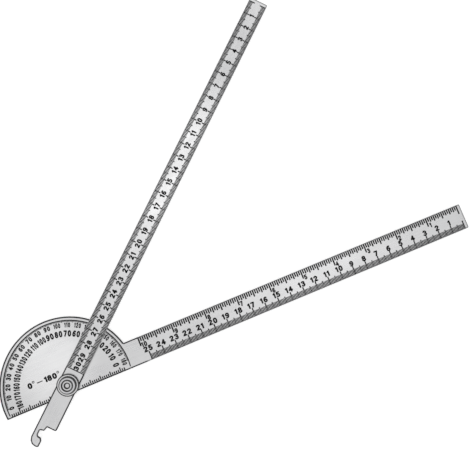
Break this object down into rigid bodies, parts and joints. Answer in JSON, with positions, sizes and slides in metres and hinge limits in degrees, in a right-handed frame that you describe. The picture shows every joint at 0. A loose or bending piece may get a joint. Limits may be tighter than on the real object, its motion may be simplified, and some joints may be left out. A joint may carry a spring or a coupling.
{
  "type": "goniometer",
  "caption": "Half-circle steel goniometer with two long ruled arms on a pivot stud, and a knurled nut that sets the drag, for measuring joint angles.",
  "frame": {"origin": "on the pivot axis at the back face of the stud's head, the lowest face", "axes": "+X along the fixed arm to its tip, +Y towards the half circle, +Z along the pivot axis towards the nut"},
  "size_m": [0.362, 0.2467, 0.0075],
  "materials": {
    "satin_steel": "satin brushed stainless sheet",
    "arm_steel": "satin stainless sheet, brushed along the arm",
    "turned_steel": "turned stainless, fine concentric lines",
    "washer_steel": "tumbled stainless washer",
    "spring_steel": "blued spring strip",
    "nut_plate": "bright nickel plate over knurled brass",
    "nylon": "natural nylon sheet",
    "black_fill": "black enamel in the etched graduations"
  },
  "bodies": {
    "fixed_side": {"protractor_arm": "satin_steel", "pivot_stud": "turned_steel", "rear_washer": "washer_steel", "friction_washer": "nylon", "wave_washer": "spring_steel"},
    "swinging_arm": {"moving_arm": "arm_steel"},
    "clamp_washer": {"front_washer": "washer_steel"},
    "nut": {"thumb_nut": "nut_plate"}
  },
  "joints": [
    {"name": "arm_pivot", "type": "hinge", "parent": "fixed_side", "child": "swinging_arm", "pos_m": [0, 0, 0.0029], "axis": [0, 0, 1], "continuous": true},
    {"name": "nut_lift", "type": "slide", "parent": "fixed_side", "child": "clamp_washer", "axis": [0, 0, 1], "range_m": [0, 0.0008], "deforming": ["wave_washer"]},
    {"name": "nut_turn", "type": "hinge", "parent": "clamp_washer", "child": "nut", "pos_m": [0, 0, 0.006], "axis": [0, 0, 1], "range_deg": [0, 360]}
  ],
  "couplings": [
    {"joint": "nut_turn", "follows": "nut_lift", "rad_per_m": 7853.9}
  ]
}
